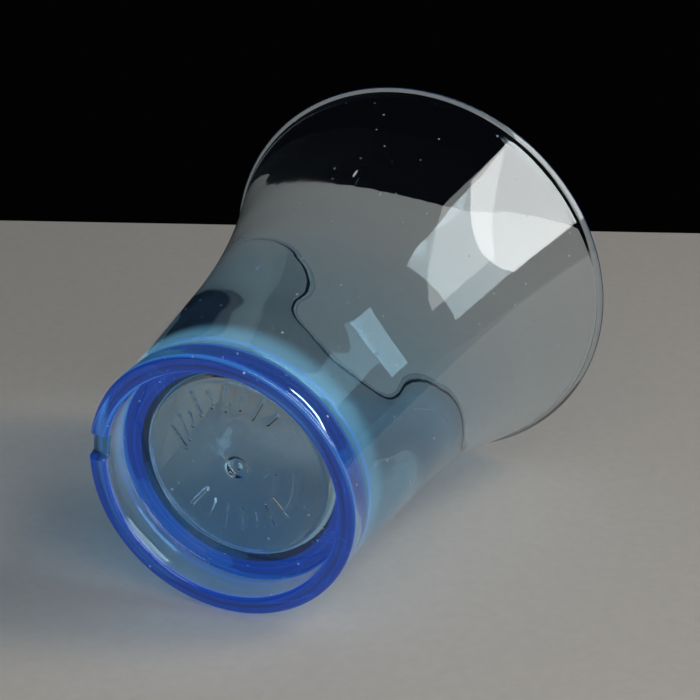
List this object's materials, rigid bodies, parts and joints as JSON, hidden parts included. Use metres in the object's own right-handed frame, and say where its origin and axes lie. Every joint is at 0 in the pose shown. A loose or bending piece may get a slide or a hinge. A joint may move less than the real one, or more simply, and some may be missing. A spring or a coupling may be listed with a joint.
{
  "type": "clear plastic sample cup",
  "caption": "Small tulip-shaped cup in clear blue-tinted plastic, with a flared mouth, a standing ring and a recessed underside.",
  "frame": {"origin": "centre of the ring that the cup stands on, at the standing face", "axes": "+Z from the standing face to the mouth, along the cup's axis; +Y and +X are free, the vent notch lies at 235 degrees from +X"},
  "size_m": [0.0418, 0.0418, 0.0475],
  "materials": {
    "clear_blue_plastic": "transparent, moulded glossy"
  },
  "bodies": {
    "root": {"cup_body": "clear_blue_plastic"}
  },
  "joints": []
}
